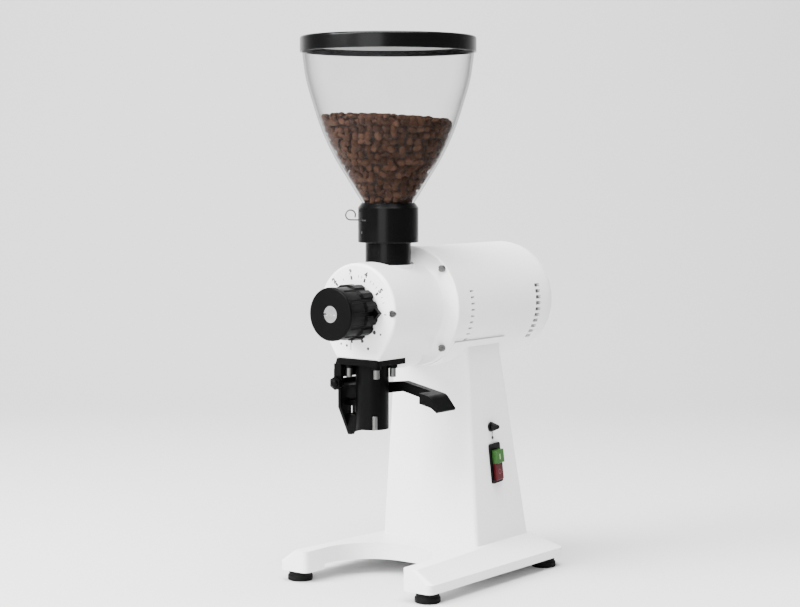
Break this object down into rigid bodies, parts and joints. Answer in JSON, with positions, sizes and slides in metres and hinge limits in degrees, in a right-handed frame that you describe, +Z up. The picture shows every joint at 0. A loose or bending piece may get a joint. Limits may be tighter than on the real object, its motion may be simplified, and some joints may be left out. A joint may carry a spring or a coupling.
{
  "type": "electric coffee grinder",
  "caption": "Shop coffee grinder: clear cone hopper over a white grinding head and round motor, on a tapered column with an arched base.",
  "frame": {"origin": "on the table under the middle of the bounding box, where the rubber feet rest", "axes": "+Z up, the grinding knob and spout face -Y, the motor's closed end is at +Y, switches and shaker paddle on +X"},
  "size_m": [0.246, 0.405, 0.7],
  "materials": {
    "white_enamel": "satin white powder coat",
    "black_cast": "satin black",
    "black_plastic": "satin",
    "lid_plastic": "gloss black",
    "clear_plastic": "clear",
    "beans": "roasted",
    "foot_rubber": "matt",
    "green_button": "gloss",
    "red_button": "gloss",
    "bright_steel": "bright",
    "machined_steel": "machined",
    "burr_iron": "ground",
    "cast_aluminium": "cast"
  },
  "bodies": {
    "machine": {"base_cover_plate": "machined_steel", "base_pedestal": "white_enamel", "bearing_shield": "cast_aluminium", "cable_gland": "black_plastic", "clamp_pin": "bright_steel", "clamp_spring": "bright_steel", "coffee_beans": "beans", "collar_screw": "bright_steel", "face_screw_left": "bright_steel", "face_screw_right": "bright_steel", "feed_chamber": "cast_aluminium", "fixed_burr": "burr_iron", "flange_screw_lower_left": "bright_steel", "flange_screw_lower_right": "bright_steel", "flange_screw_upper_left": "bright_steel", "flange_screw_upper_right": "bright_steel", "foot_front_left": "foot_rubber", "foot_front_right": "foot_rubber", "foot_rear_left": "foot_rubber", "foot_rear_right": "foot_rubber", "foot_screw_front_left": "bright_steel", "foot_screw_front_right": "bright_steel", "foot_screw_rear_left": "bright_steel", "foot_screw_rear_right": "bright_steel", "front_bearing": "machined_steel", "grinding_head": "white_enamel", "hopper": "clear_plastic", "hopper_collar": "black_plastic", "hopper_neck": "black_plastic", "lever_pin": "bright_steel", "motor_housing": "white_enamel", "rear_bearing": "machined_steel", "reset_bush": "bright_steel", "spout": "black_cast", "spout_pin": "bright_steel", "spout_screw_1": "bright_steel", "spout_screw_2": "bright_steel", "spout_screw_3": "bright_steel", "spout_screw_4": "bright_steel", "start_capacitor": "black_plastic", "switch_bezel": "black_plastic", "wound_stator": "machined_steel"},
    "dial_knob": {"grind_knob": "black_plastic", "knob_screw": "bright_steel", "adjusting_spindle": "machined_steel"},
    "thrust": {"thrust_cup": "machined_steel"},
    "rotor": {"motor_shaft": "machined_steel", "rotor_core": "machined_steel", "cooling_fan": "black_plastic", "burr_hub": "machined_steel", "turning_burr": "burr_iron", "feed_screw": "burr_iron"},
    "lid": {"hopper_lid": "lid_plastic"},
    "shutter": {"shutter_slide": "black_cast"},
    "clamp": {"clamp_flap": "black_cast"},
    "lever": {"shaker_lever": "black_cast"},
    "on_push": {"on_button": "green_button"},
    "off_push": {"off_button": "red_button"},
    "reset_push": {"reset_button": "black_plastic"}
  },
  "joints": [
    {"name": "grind_setting", "type": "hinge", "parent": "machine", "child": "dial_knob", "pos_m": [0, -0.18, 0.3553], "axis": [0, 1, 0], "range_deg": [-250, 60]},
    {"name": "burr_setting", "type": "slide", "parent": "machine", "child": "thrust", "axis": [0, 1, 0], "range_m": [-0.00104, 0.00025]},
    {"name": "rotor_spin", "type": "hinge", "parent": "thrust", "child": "rotor", "pos_m": [0, 0, 0.3553], "axis": [0, 1, 0], "continuous": true},
    {"name": "lid_lift", "type": "slide", "parent": "machine", "child": "lid", "axis": [0, 0, 1], "range_m": [0, 0.08]},
    {"name": "shutter_pull", "type": "slide", "parent": "machine", "child": "shutter", "axis": [-0.788, -0.6157, 0], "range_m": [0, 0.045]},
    {"name": "clamp_open", "type": "hinge", "parent": "machine", "child": "clamp", "pos_m": [-0.0315, -0.125, 0.2635], "axis": [0, 1, 0], "range_deg": [0, 35], "stiffness_Nm_per_rad": 0.08, "springref_deg": -20.05},
    {"name": "lever_press", "type": "hinge", "parent": "machine", "child": "lever", "pos_m": [0, -0.091, 0.253], "axis": [0, 1, 0], "range_deg": [-4, 14], "stiffness_Nm_per_rad": 3},
    {"name": "on_press", "type": "slide", "parent": "machine", "child": "on_push", "axis": [-0.9975, 0, -0.071], "range_m": [0, 0.003], "stiffness_N_per_m": 400},
    {"name": "off_press", "type": "slide", "parent": "machine", "child": "off_push", "axis": [-0.9975, 0, -0.071], "range_m": [0, 0.003], "stiffness_N_per_m": 400},
    {"name": "reset_press", "type": "slide", "parent": "machine", "child": "reset_push", "axis": [-0.9975, 0, -0.071], "range_m": [0, 0.0012], "stiffness_N_per_m": 300}
  ],
  "couplings": [
    {"joint": "grind_setting", "follows": "burr_setting", "rad_per_m": 4188.8}
  ]
}
